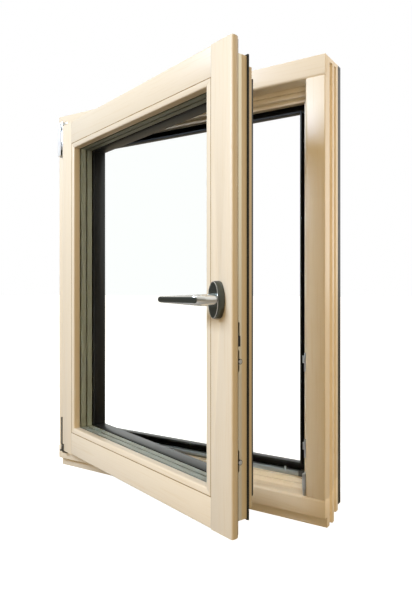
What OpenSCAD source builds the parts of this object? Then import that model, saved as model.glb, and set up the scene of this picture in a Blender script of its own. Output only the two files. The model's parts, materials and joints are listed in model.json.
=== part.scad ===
// Tilt-and-turn casement window: a timber frame and sash with aluminium cladding
// outside, a triple-glazed unit, and hardware that turns, tilts and locks the sash.
// X runs across the window, +Y points outdoors and +Z up.
// The origin is on the sill's underside, at the middle of its length and midway between
// its inner recess and its outer face.

/* [Overall] */
// Width of the outer frame
frame_w = 800; // [650:10:1300]
// Height of the outer frame
frame_h = 1000; // [800:10:1500]
// Angle at which the sash stands open
open_angle = 18.64; // [0:0.01:100]

/* [Frame timber] */
// Width of the frame's face, up to the edge of its rebate
frame_face = 45; // [40:1:60]
// Depth of the frame timber, and of the sash timber
frame_depth = 78; // [74:1:95]
// Extra height of the sill below the sash
sill_extra = 17; // [8:1:30]
// Depth of the recess under the sill's inner face
recess_d = 12.5; // [6:0.5:20]
// Height of the recess under the sill's inner face
recess_h = 22.8; // [10:0.1:30]
// Depth of the step under the sill's outer face
sill_step_d = 13; // [8:1:13]
// Height of the step under the sill's outer face
sill_step_h = 16; // [8:1:24]
// Radius on the edge of the frame's rebate
frame_round = 6; // [2:0.5:7]
// Height of each of the three steps behind the rebate
frame_step = 9; // [6:1:10]
// Depth of the ledge between the first step and the second
frame_ledge = 8; // [4:1:12]
// Depth from the first step to the last
frame_step_depth = 22; // [20:1:24]

/* [Sash timber] */
// Width of the sash face, without the glazing bead
sash_face = 60; // [56:1:80]
// Thickness of the sash lip
lip_thick = 17; // [15:1:22]
// How far the lip laps over the frame's face
lip_lap = 8; // [6:1:10]
// Gap between the lip and the frame's face
lip_gap = 2; // [1.5:0.5:4]
// Air gap around the sash, where the hardware runs
air_gap = 12; // [11:0.5:14]
// Depth of the hardware rebate
hardware_depth = 40; // [38:1:44]
// Second step of the sash edge
sash_step = 12; // [9:1:14]
// Radius on the sash's visible edges
sash_round = 4; // [1:0.5:7]

/* [Glazing] */
// Thickness of one pane
pane_thick = 4; // [3:0.5:6]
// Space between two panes
pane_space = 14; // [8:1:15]
// Width of the glazing bead
bead_w = 15; // [12:1:20]
// Thickness of the outer glazing gasket
glazing_gasket = 6; // [3:0.5:8]

/* [Cladding] */
// Wall thickness of the frame cladding
clad_wall = 2; // [1.5:0.1:3]
// Depth of the frame cladding and its clips, outside the timber
clad_depth = 17; // [14:1:24]
// Gap between the frame timber and its cladding
clad_vent = 2; // [1:0.5:4]
// Height at which the frame cladding starts above the sill's underside
clad_up = 28; // [10:1:35]
// How far the frame cladding reaches past the frame's rebate
clad_reach = 44; // [42:1:50]
// Gap between the sash cladding and the frame cladding
clad_gap = 4; // [3:0.5:6]

/* [Handle] */
// Height of the handle's axis above the sill's underside
handle_h = 485; // [400:5:620]
// Distance from the sash lip's edge to the handle's axis
handle_in = 35; // [35:1:40]
// Length of the lever, from the handle's axis to its tip
lever_len = 127; // [90:1:150]
// Height of the lever at its root
lever_root_h = 19; // [14:1:22]
// Height of the lever at its tip
lever_tip_h = 13; // [10:1:18]
// Thickness of the lever
lever_thick = 13; // [9:1:16]
// How far the lever's front stands out from the sash face
lever_out = 58; // [45:1:70]
// Diameter of the handle's neck
neck_d = 22; // [18:1:24]
// Width of the rosette
rosette_w = 32; // [28:1:36]
// Height of the rosette
rosette_h = 70; // [60:1:80]
// Thickness of the rosette
rosette_thick = 14; // [8:1:18]

/* [Hardware] */
// Width of the faceplates
plate_w = 20; // [16:1:20]
// Thickness of the faceplates
plate_thick = 3; // [2:0.5:3]
// Diameter of a locking cam
cam_d = 10; // [8:1:12]
// Travel of the locking rods each way
rod_travel = 17; // [12:1:18]
// Length of the tilt stay, from the turning axis to its slider
stay_len = 400; // [300:5:450]
// Diameter of the frame-fixing holes
fixing_d = 6.5; // [5:0.5:8]
// Distance of the frame-fixing holes from the top and the bottom
fixing_inset = 235; // [180:5:280]

/* [Hidden] */

$fn = 48;
TINY = 0.01;                // makes a cut run cleanly past a face
PAST = 1;                   // a cut's overshoot
FIT = 0.3;                  // gap between pieces that move past each other
RUNNING = 0.03;             // radial clearance of a pin in its eye

// --- Frame, measured from its outer edge and from its inner face
edge_round = 2;
groove_wide = [27, 43, 6];              // in the outer sides: start, end and depth
groove_narrow = [54, 65, 4];
groove_stop = 9;                        // how far below the top the grooves end
nose_y = hardware_depth;
ledge_y = nose_y + frame_ledge;
last_y = nose_y + frame_step_depth;
frame_inner = frame_face + 3 * frame_step;
seat_y = (recess_d + frame_depth) / 2;

// --- Frame cladding
clad_y0 = frame_depth + clad_vent;
clad_y1 = frame_depth + clad_depth;
clad_in = frame_face + clad_reach;

// --- Sash, measured from its lip's edge and from its inner face
lip_margin = frame_face - lip_lap;
sash_w = frame_w - 2 * lip_margin;
sash_h = frame_h - 2 * lip_margin - sill_extra;
sash_z = lip_margin + sill_extra;
sash_y = -(lip_thick + lip_gap);
sash_depth = frame_depth;
lip_bevel = [3, 6.5];                   // behind the lip's edge: across the face, and in depth
track = lip_lap + air_gap;              // inset of the hardware surface
track_n = lip_thick + hardware_depth;   // depth where the hardware surface ends
step_q = track + sash_step;
sight = sash_face + bead_w;             // inset of the glass edge that shows
bead_seat = 3;                          // how far the bead reaches over the glass rebate
bead_back = 0.7;                        // from the lip's thickness to the bead's back
edge_room = 5;                          // around the glazed unit, for its setting blocks
leg_reach = 5;                          // the outer leg stops this far from the sight line
glass_rebate = sash_face - bead_seat;
bead_n = lip_thick + bead_back;
glass_n = bead_n + FIT;
unit_thick = 3 * pane_thick + 2 * pane_space;
unit_q = glass_rebate + edge_room;
glass_out = glass_n + unit_thick;
leg_n = glass_out + glazing_gasket;
leg_q = sight - leg_reach;
sash_clad_inset = 14;                   // from the sash's second step to its cladding
sash_clad_q = step_q + sash_clad_inset;
sash_clad_wall = 1.6;
sash_clad_out = frame_depth + clad_vent - clad_gap - sash_y;

// --- Hinge axes
axis_out = 7;                           // from the lip's edge to the turning axis
axis_n = 7;                             // from the sash face back to the turning axis
axis_x = -frame_w / 2 + lip_margin - axis_out;
axis_y = sash_y + axis_n;
tilt_up = 6;                            // height of the tilting axis above the lip's lower edge
pin_d = 7;
stay_pin_d = 6;
knuckle_d = 12;
knuckle_top = 12;                       // above the lip's lower edge
trunnion_d = 6;
trunnion_end = 10;
barrel_d = 13;

// --- Hardware track
track_mid = lip_thick + 14;
channel_w = 12;
channel_q = track + 12;
rod_w = 11;
rod_thick = 3;
rod_q = track + plate_thick + FIT;
cam_reach = 8;
cam_neck_d = 8;
screw_d = 4;
screw_long = 22;
corner_leg = 85;
lock_cams = [131, 317];                 // along the lock side, from the lip's lower edge
cross_cam = sash_w - 180;               // along the top and the bottom, from the hinge side
lock_screws = [[165, 270, 500, 640], corner_leg - 25 - track];
cross_screws = [90, 520];
striker_long = 40;
striker_thick = 3;
striker_off = 6;                        // the plate's middle lies this far behind its hook
striker_deep = 19;                      // from the hook's outdoor side to the plate's edge
striker_screw_x = [-20, 8];             // from the hook's middle
striker_screw_y = 14;                   // from the hook's outdoor side
hook_long = 16;
hook_thick = 3;
hook_reach = 4;
hook_gap = 0.4;
bottom_hook_gap = 2;

// --- Stay
stay_n = track_mid;
stay_slot = sash_h - track;             // height of the stay's underside space above the sash
stay_lift = 5.5;
stay_thick = 3;
stay_w = 12;
eye_z0 = stay_slot + 1.5;
eye_z1 = stay_slot + 9.5;
crank_n0 = axis_n + 5;
crank_thick = 3;
crank_room = 32;
slider_d = 6;
stay_at = stay_len - axis_out;

// --- Handle
handle_u = sash_w - handle_in;
handle_z = handle_h - sash_z;
spindle_w = 7;
follower_d = 14;
gearbox_n = [track_mid - 6, track_mid + 6];
gearbox_z = [-75, 45];
gearbox_q = [rod_q + rod_thick + 0.5, handle_in + 12];
handle_screw_z = 21.5;

// --- Colours
PINE = [0.93, 0.84, 0.66];
PINE_LIGHT = [0.95, 0.88, 0.72];
BLACK = [0.08, 0.08, 0.07];
SEAL = [0.05, 0.05, 0.05];
SILVER = [0.72, 0.73, 0.72];
STEEL = [0.62, 0.63, 0.62];
DARK = [0.25, 0.26, 0.25];
SPACER = [0.45, 0.49, 0.48];
GLASS = [0.75, 0.85, 0.82, 0.35];

// ---------------------------------------------------------------- outlines

function arc_points(centre, radius, from, to, steps = 6) =
    [for (i = [0:steps]) let (a = from + (to - from) * i / steps)
        centre + radius * [cos(a), sin(a)]];

// Stepped inner side of the frame, from its nose to its outer face
function frame_steps(extra) =
    let (f = frame_face + extra)
    [[f, nose_y], [f + frame_step, nose_y], [f + frame_step, ledge_y],
     [f + 2 * frame_step, ledge_y], [f + 2 * frame_step, last_y],
     [f + 3 * frame_step, last_y], [f + 3 * frame_step, frame_depth]];

module frame_section() {
    polygon(concat(
        arc_points([edge_round, edge_round], edge_round, 180, 270),
        arc_points([frame_face - frame_round, frame_round], frame_round, 270, 360),
        frame_steps(0), [[0, frame_depth]]));
}

module sill_section() {
    polygon(concat(
        [[0, recess_d], [recess_h, recess_d], [recess_h, 0]],
        arc_points([frame_face + sill_extra - frame_round, frame_round], frame_round, 270, 360),
        frame_steps(sill_extra),
        [[sill_step_h, frame_depth], [sill_step_h, frame_depth - sill_step_d],
         [0, frame_depth - sill_step_d]]));
}

// The space that a frame member takes, without its rounding
module frame_block(extra) {
    polygon(concat([[-PAST, -PAST], [frame_face + extra, -PAST]], frame_steps(extra),
        [[frame_inner + extra, frame_depth + PAST], [-PAST, frame_depth + PAST]]));
}

module frame_cladding_section(extra) {
    inner = clad_in + extra;
    polygon([[0, clad_y0], [0, clad_y1], [inner, clad_y1], [inner, clad_y0],
        [inner - clad_wall, clad_y0], [inner - clad_wall, clad_y1 - clad_wall],
        [clad_wall, clad_y1 - clad_wall], [clad_wall, clad_y0]]);
}

// The sash's edge behind its lip, from outdoors to indoors, with the hardware groove
sash_edge = let (plate = plate_w / 2, channel = channel_w / 2, deep = track + plate_thick)
    [[step_q, track_n], [track, track_n],
     [track, track_mid + plate], [deep, track_mid + plate],
     [deep, track_mid + channel], [channel_q, track_mid + channel],
     [channel_q, track_mid - channel], [deep, track_mid - channel],
     [deep, track_mid - plate], [track, track_mid - plate], [track, lip_thick]];

module sash_section() {
    polygon(concat(
        arc_points([sash_round, sash_round], sash_round, 180, 270),
        [[sash_face, 0], [sash_face, bead_n], [glass_rebate, bead_n], [glass_rebate, leg_n],
         [leg_q, leg_n], [leg_q, sash_depth], [step_q, sash_depth]],
        sash_edge, [[lip_bevel[0], lip_thick], [0, lip_thick - lip_bevel[1]]]));
}

// What lies outside the sash's edge behind its lip
module sash_outside() {
    polygon(concat([[-PAST, sash_depth + PAST], [step_q, sash_depth + PAST]], sash_edge,
        [[-PAST, lip_thick]]));
}

module sash_block() {
    polygon([[-PAST, -PAST], [sash_face, -PAST], [sash_face, bead_n], [glass_rebate, bead_n],
        [glass_rebate, leg_n], [leg_q, leg_n], [leg_q, sash_depth + PAST],
        [-PAST, sash_depth + PAST]]);
}

module bead_section() {
    edge = 1;
    round_edge = 3;
    shadow_gap = 1.2;
    polygon(concat([[sash_face + shadow_gap, edge], [sash_face + 2 * edge, 0]],
        arc_points([sight - round_edge, round_edge], round_edge, 270, 360),
        [[sight, bead_n], [sash_face, bead_n], [sash_face, edge]]));
}

module sash_cladding_section() {
    w = sash_clad_wall;
    o = sash_clad_out;
    polygon([[sash_clad_q, sash_depth], [sash_clad_q, o], [sight, o], [sight, leg_n],
        [sight - w, leg_n], [sight - w, o - w], [sash_clad_q + w, o - w],
        [sash_clad_q + w, sash_depth]]);
}

module centre_gasket_section() {
    lip = 3;
    foot = 4;
    thick = 1.6;
    slant = 1;
    polygon([[track - lip, track_n - lip], [track, track_n - lip], [track, track_n],
        [track + foot, track_n], [track + foot, track_n + thick],
        [track - slant, track_n + thick], [track - lip, track_n + slant / 2]]);
}

// ---------------------------------------------------------------- placing

// The frame's own coordinates: x from its outer edge, y from its inner face
module in_frame() {
    translate([-frame_w / 2, -seat_y, 0]) children();
}

// The sash's own coordinates: x from its lip's hinge-side edge, y from its inner face,
// z from the lip's lower edge, turned open about the hinge axis
module in_sash() {
    translate([axis_x, axis_y - seat_y, 0]) rotate([0, 0, -open_angle])
        translate([axis_out, -axis_n, sash_z]) children();
}

// Lays a section along one side of a w by h rectangle in the XZ plane
module along(side, w, h) {
    if (side == "left") linear_extrude(h) children();
    if (side == "right") translate([w, 0, 0]) mirror([1, 0, 0]) linear_extrude(h) children();
    if (side == "top") translate([0, 0, h]) rotate([0, 90, 0]) linear_extrude(w) children();
    if (side == "bottom") mirror([0, 0, 1]) rotate([0, 90, 0]) linear_extrude(w) children();
}

// The part of a w by h rectangle that one mitred side takes; the mitres run from
// the outer corners to corners that lie in by the given insets
module mitre_zone(side, w, h, in_side, in_bottom, in_top) {
    far = frame_depth + clad_depth - sash_y + PAST;
    outer = [[0, 0], [w, 0], [w, h], [0, h]];
    inner = [[in_side, in_bottom], [w - in_side, in_bottom],
             [w - in_side, h - in_top], [in_side, h - in_top]];
    corners = side == "bottom" ? [0, 1] : side == "right" ? [1, 2]
            : side == "top" ? [2, 3] : [3, 0];
    translate([0, far, 0]) rotate([90, 0, 0]) linear_extrude(2 * far)
        polygon([outer[corners[0]], outer[corners[1]], inner[corners[1]], inner[corners[0]]]);
}

module mitred(side, w, h, in_side, in_bottom, in_top) {
    intersection() {
        along(side, w, h) children();
        mitre_zone(side, w, h, in_side, in_bottom, in_top);
    }
}

module mitred_sash(side) {
    mitred(side, sash_w, sash_h, 2 * sight, 2 * sight, 2 * sight) children();
}

module sash_ring() {
    mitred_sash("left") children();
    mitred_sash("right") children();
    mitred_sash("top") children();
    mitred_sash("bottom") children();
}

module box(low, high) {
    translate(low) cube(high - low);
}

// A rectangular ring around the sash: insets from the lip's edge, and depths
module flat_ring(outer, inner, n0, n1) {
    difference() {
        box([outer, n0, outer], [sash_w - outer, n1, sash_h - outer]);
        box([inner, n0 - PAST, inner], [sash_w - inner, n1 + PAST, sash_h - inner]);
    }
}

module along_x(d, from, to) {
    translate([from, 0, 0]) rotate([0, 90, 0]) cylinder(h = to - from, d = d);
}

module along_y(d, from, to) {
    translate([0, to, 0]) rotate([90, 0, 0]) cylinder(h = to - from, d = d);
}

// Local coordinates on the hardware track: x runs along the side, y is the depth
// from the sash face and z the height above the hardware surface
module on_track(side) {
    if (side == "lock") translate([sash_w - track, 0, 0]) rotate([0, 90, 0])
        mirror([1, 0, 0]) children();
    if (side == "top") translate([0, 0, sash_h - track]) children();
    if (side == "bottom") translate([0, 0, track]) mirror([0, 0, 1]) children();
}

// The same on the frame's rebate, with z the height above its surface
module on_rebate(side) {
    f = frame_face;
    if (side == "lock") translate([frame_w - f, 0, sash_z]) rotate([0, -90, 0]) children();
    if (side == "top") translate([lip_margin, 0, frame_h - f]) mirror([0, 0, 1]) children();
    if (side == "bottom") translate([lip_margin, 0, f + sill_extra]) children();
}

// ---------------------------------------------------------------- frame

// Screw holes in the frame timber
module frame_screw_holes() {
    striker_screw_set(screw_d, PAST);
    bearing_screw_set(screw_d);
}

// Grooves in the frame's two outer sides, which run on through the ends of head and sill
module side_grooves() {
    high = frame_h - groove_stop + PAST;
    for (groove = [groove_wide, groove_narrow], side = ["left", "right"])
        translate([0, 0, -PAST]) along(side, frame_w, high)
            translate([-PAST, groove[0]]) square([groove[2] + PAST, groove[1] - groove[0]]);
}

module frame_head() {
    color(PINE) in_frame() difference() {
        along("top", frame_w, frame_h) frame_section();
        side_grooves();
        frame_screw_holes();
    }
}

module frame_sill() {
    color(PINE) in_frame() difference() {
        along("bottom", frame_w, frame_h) sill_section();
        side_grooves();
        frame_screw_holes();
    }
}

module jamb(side) {
    hole_y = (groove_wide[0] + groove_wide[1]) / 2;
    hole_x = side == "left" ? 0 : frame_w - frame_face;
    color(PINE_LIGHT) in_frame() difference() {
        along(side, frame_w, frame_h) frame_section();
        side_grooves();
        along("top", frame_w, frame_h) frame_block(0);
        along("bottom", frame_w, frame_h) frame_block(sill_extra);
        for (z = [fixing_inset, frame_h - fixing_inset])
            translate([hole_x, hole_y, z]) along_x(fixing_d, -PAST, frame_face + PAST);
        frame_screw_holes();
    }
}

module jamb_hinge_side() {
    jamb("left");
}

module jamb_lock_side() {
    jamb("right");
}

module frame_cladding(side, extra) {
    color(BLACK) in_frame() translate([0, 0, clad_up])
        mitred(side, frame_w, frame_h - clad_up, clad_in, clad_in + sill_extra - clad_up, clad_in)
            frame_cladding_section(extra);
}

module cladding_head() {
    frame_cladding("top", 0);
}

module cladding_sill() {
    frame_cladding("bottom", sill_extra - clad_up);
}

module cladding_hinge_side() {
    frame_cladding("left", 0);
}

module cladding_lock_side() {
    frame_cladding("right", 0);
}

// Clips that hold the cladding off the timber, three to a side
module cladding_clips() {
    clip = [30, clad_depth - clad_wall, 16];
    mid = frame_face / 2;
    color(BLACK) in_frame() {
        for (x = [mid, frame_w - mid], f = [0.2, 0.5, 0.8])
            translate([x - clip[2] / 2, frame_depth, frame_h * f - clip[0] / 2])
                cube([clip[2], clip[1], clip[0]]);
        for (z = [clad_up + mid, frame_h - mid], f = [0.2, 0.5, 0.8])
            translate([frame_w * f - clip[0] / 2, frame_depth, z - clip[2] / 2]) cube(clip);
    }
}

// Seal on the cladding's inner edge, facing the sash cladding
module frame_gasket() {
    wide = clad_wall + 1.5;
    y0 = clad_y0 - clad_gap + FIT;
    color(SEAL) in_frame() difference() {
        box([clad_in - wide, y0, clad_in + sill_extra - wide],
            [frame_w - clad_in + wide, clad_y0, frame_h - clad_in + wide]);
        box([clad_in, y0 - PAST, clad_in + sill_extra],
            [frame_w - clad_in, clad_y0 + PAST, frame_h - clad_in]);
    }
}

// Rain rail on the sill: an upstand before the last step, and a flange on top of it
rail_foot = frame_face + sill_extra + 2 * frame_step + 0.5;
rail_top = frame_inner + sill_extra;
rail_wall = 1.5;
rail_y = last_y - FIT - rail_wall;
rail_flange_y = frame_depth - 3;
rail_cap = 14;

module rain_rail() {
    x0 = frame_inner + FIT + rail_cap;
    color(SILVER) in_frame() {
        box([x0, rail_y, rail_foot], [frame_w - x0, rail_y + rail_wall, rail_top]);
        box([x0, rail_y, rail_top], [frame_w - x0, rail_flange_y, rail_top + rail_wall]);
    }
}

module rail_end_caps() {
    high = 3.5;
    color(DARK) in_frame()
        for (x = [frame_inner + FIT, frame_w - frame_inner - FIT - rail_cap]) {
            box([x, rail_y, rail_foot], [x + rail_cap, rail_y + rail_wall, rail_top]);
            box([x, rail_y, rail_top], [x + rail_cap, rail_flange_y, rail_top + high]);
        }
}

// Pegs that stand on the rail near its ends and hold its flange down
module rail_pegs() {
    peg = [5, 4, 6.5];
    from_end = 45;
    color(SILVER) in_frame()
        for (x = [frame_inner + from_end, frame_w - frame_inner - from_end - peg[0]])
            translate([x, rail_y + rail_wall, rail_top + rail_wall]) cube(peg);
}

// One striker: a plate on the rebate and a hook on the indoor side of the locked cam.
// The cam stands at x when the handle is at rest and locks towards the given way
module striker(x, way, gap) {
    y = sash_y + track_mid;
    hook_y = y - cam_d / 2 - gap;
    hook_mid = x + way * rod_travel;
    border = 1;
    box([hook_mid - striker_long / 2 - striker_off, hook_y - hook_thick - border, 0],
        [hook_mid + striker_long / 2 - striker_off, hook_y + striker_deep, striker_thick]);
    box([hook_mid - hook_long / 2, hook_y - hook_thick, striker_thick],
        [hook_mid + hook_long / 2, hook_y, striker_thick + hook_reach]);
}

module strikers() {
    color(SILVER) in_frame() difference() {
        union() {
            for (z = lock_cams) on_rebate("lock") striker(z, -1, hook_gap);
            on_rebate("top") striker(cross_cam, 1, hook_gap);
            on_rebate("bottom") striker(cross_cam, -1, bottom_hook_gap);
        }
        striker_screw_set(screw_d, PAST);
    }
}

module striker_screw_pair(x, way, gap, d, past) {
    hook_mid = x + way * rod_travel;
    y = sash_y + track_mid - cam_d / 2 - gap + striker_screw_y;
    for (s = striker_screw_x) translate([hook_mid + s, y, -screw_long])
        cylinder(h = screw_long + striker_thick + past, d = d);
}

module striker_screw_set(d, past) {
    for (z = lock_cams) on_rebate("lock") striker_screw_pair(z, -1, hook_gap, d, past);
    on_rebate("top") striker_screw_pair(cross_cam, 1, hook_gap, d, past);
    on_rebate("bottom") striker_screw_pair(cross_cam, -1, bottom_hook_gap, d, past);
}

module striker_screws() {
    color(STEEL) in_frame() striker_screw_set(screw_d, 0);
}

// Block that takes the sash's weight at the lock side as it closes
module sash_lifter() {
    lifter = [46, 22, 7];
    bottom_gap = 8;
    color(SILVER) in_frame() on_rebate("lock")
        translate([bottom_gap, sash_y + track_mid - lifter[1] / 2, 0]) difference() {
            cube(lifter);
            translate([-PAST, -PAST, 4]) rotate([0, -8, 0]) cube([20, lifter[1] + 2 * PAST, 9]);
        }
}

// ---------------------------------------------------------------- hinge side

// Upper stay bearing: a plate on the frame's face with two knuckles around the pin
pin_x = lip_margin - axis_out;
bearing_x = [pin_x - 16, pin_x + 6];
bearing_top = frame_h - 21;
bearing_low = bearing_top - 98;
bearing_plate = 3;
eye_low = sash_z + eye_z0;
eye_high = sash_z + eye_z1;
stay_pin_z = [eye_low - 18, bearing_top - 2];

module stay_bearing() {
    color(STEEL) in_frame() difference() {
        union() {
            box([bearing_x[0], -bearing_plate, bearing_low], [bearing_x[1], 0, bearing_top]);
            for (z = [[bearing_low + 18, eye_low - FIT], [eye_high + FIT, bearing_top - 3]]) {
                translate([pin_x, axis_y, z[0]]) cylinder(h = z[1] - z[0], d = barrel_d);
                box([pin_x - 4, axis_y, z[0]], [pin_x + 4, -bearing_plate, z[1]]);
            }
        }
        translate([pin_x, axis_y, stay_pin_z[0]])
            cylinder(h = bearing_top - stay_pin_z[0] + PAST, d = stay_pin_d);
        bearing_screw_set(screw_d);
    }
}

// Snap-on cover beside the bearing's knuckles, a shell that is open towards them
module stay_cover() {
    low = [bearing_x[0] - 2, axis_y - 4, bearing_low + 2];
    high = [pin_x - barrel_d / 2 - FIT, -bearing_plate - FIT, bearing_top - 2];
    wall = 1.2;
    color(SILVER) in_frame() difference() {
        box(low, high);
        box(low + [wall, wall, wall], high + [PAST, PAST, -wall]);
    }
}

// Lower corner bearing: a plate with a shelf that carries the corner pin
shelf_z = [sash_z - 5, sash_z - 1];

module corner_bearing() {
    color(DARK) in_frame() difference() {
        union() {
            box([bearing_x[0] + 2, -bearing_plate, sash_z - 14], [bearing_x[1], 0, shelf_z[1]]);
            box([pin_x - 8, axis_y - 6, shelf_z[0]], [bearing_x[1], -bearing_plate, shelf_z[1]]);
        }
        translate([pin_x, axis_y, shelf_z[0] - PAST])
            cylinder(h = shelf_z[1] - shelf_z[0] + 2 * PAST, d = pin_d);
        bearing_screw_set(screw_d);
    }
}

module hinge_pins() {
    color(STEEL) in_frame() {
        translate([pin_x, axis_y, shelf_z[0]])
            cylinder(h = sash_z + knuckle_top - 2 - shelf_z[0], d = pin_d);
        translate([pin_x, axis_y, stay_pin_z[0]])
            cylinder(h = stay_pin_z[1] - stay_pin_z[0], d = stay_pin_d);
    }
}

module bearing_screw_set(d) {
    x = bearing_x[0] + 5;
    for (z = [sash_z - 9, bearing_low + 9, bearing_low + 40, bearing_top - 10])
        translate([x, 0, z]) along_y(d, -bearing_plate, screw_long);
}

module bearing_screws() {
    color(STEEL) in_frame() bearing_screw_set(screw_d);
}

// Turns on the corner pin and carries the sash on its own tilting pin
module corner_knuckle() {
    color(DARK) in_sash() difference() {
        union() {
            translate([-axis_out, axis_n, -1 + FIT])
                cylinder(h = knuckle_top + 1 - FIT, d = knuckle_d);
            translate([-axis_out, axis_n, tilt_up])
                along_x(trunnion_d, knuckle_d / 2 - 1.5, axis_out + trunnion_end);
        }
        translate([-axis_out, axis_n, -PAST - 1])
            cylinder(h = knuckle_top + PAST - 1, d = pin_d + 2 * RUNNING);
    }
}

// Band on the sash's lower hinge-side corner, with the eye for the tilting pin
band_foot = [[FIT, 1, 0.8], [11.7, 16, 18]];
band_strip = [[-6, 0, knuckle_top + 2.5], [0, 14, 91]];

module corner_band() {
    color(DARK) in_sash() difference() {
        union() {
            box(band_foot[0], band_foot[1]);
            box(band_strip[0], band_strip[1]);
            box([-6, 1, band_strip[0][2]], [1, 14, band_foot[1][2]]);
        }
        translate([0, axis_n, tilt_up])
            along_x(trunnion_d + 2 * RUNNING, -PAST, band_foot[1][0] + PAST);
    }
}

// Tilt stay: an eye on the upper pin, a crank behind the lip and a flat arm
module stay_arm() {
    elbow = 12;
    bend_u = 11.5;
    half = stay_w / 2;
    z0 = eye_z0;
    arm_z = stay_slot + stay_lift;
    color(STEEL) in_sash() difference() {
        union() {
            translate([-axis_out, axis_n, z0]) cylinder(h = eye_z1 - z0, d = barrel_d);
            box([-axis_out, crank_n0, z0], [bend_u, crank_n0 + crank_thick, eye_z1]);
            translate([0, 0, arm_z]) linear_extrude(stay_thick)
                polygon([[bend_u - 5, crank_n0], [bend_u, crank_n0],
                    [bend_u + elbow, stay_n - half], [stay_at, stay_n - half],
                    [stay_at, stay_n + half], [bend_u + elbow, stay_n + half],
                    [bend_u - 5, crank_n0 + crank_thick]]);
            translate([stay_at, stay_n, arm_z]) cylinder(h = stay_thick, d = stay_w);
            translate([stay_at, stay_n, stay_slot - 2]) cylinder(h = stay_lift + 2.5, d = slider_d);
        }
        translate([-axis_out, axis_n, z0 - PAST])
            cylinder(h = eye_z1 - z0 + 2 * PAST, d = stay_pin_d + 2 * RUNNING);
    }
}

// ---------------------------------------------------------------- sash timber

// Room in the sash timber for the corner band, the stay's crank and the hardware
module sash_cuts() {
    box([-PAST, -PAST, -PAST], [band_foot[1][0] + FIT, lip_thick + TINY, band_foot[1][2] + FIT]);
    box([-PAST, crank_n0 - 1, stay_slot], [crank_room, lip_thick + lip_gap, eye_z1 + 1]);
    box([sash_w - gearbox_q[1] - 1, gearbox_n[0] - FIT, handle_z + gearbox_z[0] - 1],
        [sash_w - track, gearbox_n[1] + FIT, handle_z + gearbox_z[1] + 1]);
    translate([handle_u, 0, handle_z]) along_y(16, -PAST, gearbox_n[0] + PAST);
    handle_screw_set(screw_d + 1, PAST);
    hardware_screw_set(screw_d, PAST);
}

module sash_stile(side) {
    color(PINE_LIGHT) in_sash() difference() {
        along(side, sash_w, sash_h) sash_section();
        along("top", sash_w, sash_h) sash_outside();
        along("bottom", sash_w, sash_h) sash_outside();
        sash_cuts();
    }
}

module sash_stile_hinge_side() {
    sash_stile("left");
}

module sash_stile_lock_side() {
    sash_stile("right");
}

module sash_rail(side) {
    color(PINE) in_sash() difference() {
        along(side, sash_w, sash_h) sash_section();
        along("left", sash_w, sash_h) sash_block();
        along("right", sash_w, sash_h) sash_block();
        sash_cuts();
    }
}

module sash_rail_top() {
    sash_rail("top");
}

module sash_rail_bottom() {
    sash_rail("bottom");
}

module bead(side) {
    color(PINE_LIGHT) in_sash() mitred_sash(side) bead_section();
}

module bead_hinge_side() {
    bead("left");
}

module bead_lock_side() {
    bead("right");
}

module bead_top() {
    bead("top");
}

module bead_bottom() {
    bead("bottom");
}

// ---------------------------------------------------------------- glazing

module pane(index) {
    n = glass_n + index * (pane_thick + pane_space);
    color(GLASS) in_sash()
        box([unit_q, n, unit_q], [sash_w - unit_q, n + pane_thick, sash_h - unit_q]);
}

module pane_inner() {
    pane(0);
}

module pane_middle() {
    pane(1);
}

module pane_outer() {
    pane(2);
}

module spacers() {
    color(SPACER) in_sash() for (index = [0, 1]) {
        n = glass_n + pane_thick + index * (pane_thick + pane_space);
        flat_ring(unit_q + 1, sight, n, n + pane_space);
    }
}

module setting_blocks() {
    block = 90;
    color(BLACK) in_sash() for (f = [0.2, 0.8])
        box([sash_w * f - block / 2, glass_n, glass_rebate],
            [sash_w * f + block / 2, glass_out, unit_q]);
}

module sash_cladding(side) {
    color(BLACK) in_sash() mitred_sash(side) sash_cladding_section();
}

module sash_cladding_hinge_side() {
    sash_cladding("left");
}

module sash_cladding_lock_side() {
    sash_cladding("right");
}

module sash_cladding_top() {
    sash_cladding("top");
}

module sash_cladding_bottom() {
    sash_cladding("bottom");
}

module outer_glazing_gasket() {
    color(SEAL) in_sash() flat_ring(sight - 10, sight, glass_out, leg_n);
}

module centre_gasket() {
    color(SEAL) in_sash() sash_ring() centre_gasket_section();
}

module lip_gasket() {
    color(SEAL) in_sash() difference() {
        flat_ring(4, 10, lip_thick, lip_thick + lip_gap - FIT);
        sash_cuts();
    }
}

// ---------------------------------------------------------------- hardware

// A slot along a track, long enough for a cam or a screw that the rod passes
module track_slot(x, wide, reach) {
    translate([x, track_mid, -plate_thick - PAST]) {
        translate([-reach, -wide / 2, 0]) cube([2 * reach, wide, plate_thick + 2 * PAST]);
        for (s = [-1, 1]) translate([s * reach, 0, 0])
            cylinder(h = plate_thick + 2 * PAST, d = wide);
    }
}

module plate(from, to) {
    half = plate_w / 2;
    box([from, track_mid - half, -plate_thick], [to, track_mid + half, 0]);
}

module screw(x, d, past) {
    translate([x, track_mid, -screw_long]) cylinder(h = screw_long + past - 0.5, d = d);
}

// Screws through the faceplates into the timber
module hardware_screw_set(d, past) {
    top = sash_h - lock_screws[1];
    on_track("lock") for (z = concat([lock_screws[1]], lock_screws[0], [top])) screw(z, d, past);
    for (side = ["top", "bottom"]) on_track(side)
        for (x = concat(cross_screws, [sash_w - lock_screws[1]])) screw(x, d, past);
}

module handle_screw_set(d, past) {
    for (s = [-1, 1]) translate([handle_u, 0, handle_z + s * handle_screw_z])
        along_y(d, -2 - past, gearbox_n[0] + past);
}

module hardware_screws() {
    color(STEEL) in_sash() {
        hardware_screw_set(screw_d, 0);
        handle_screw_set(screw_d + 1, 0);
    }
}

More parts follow.
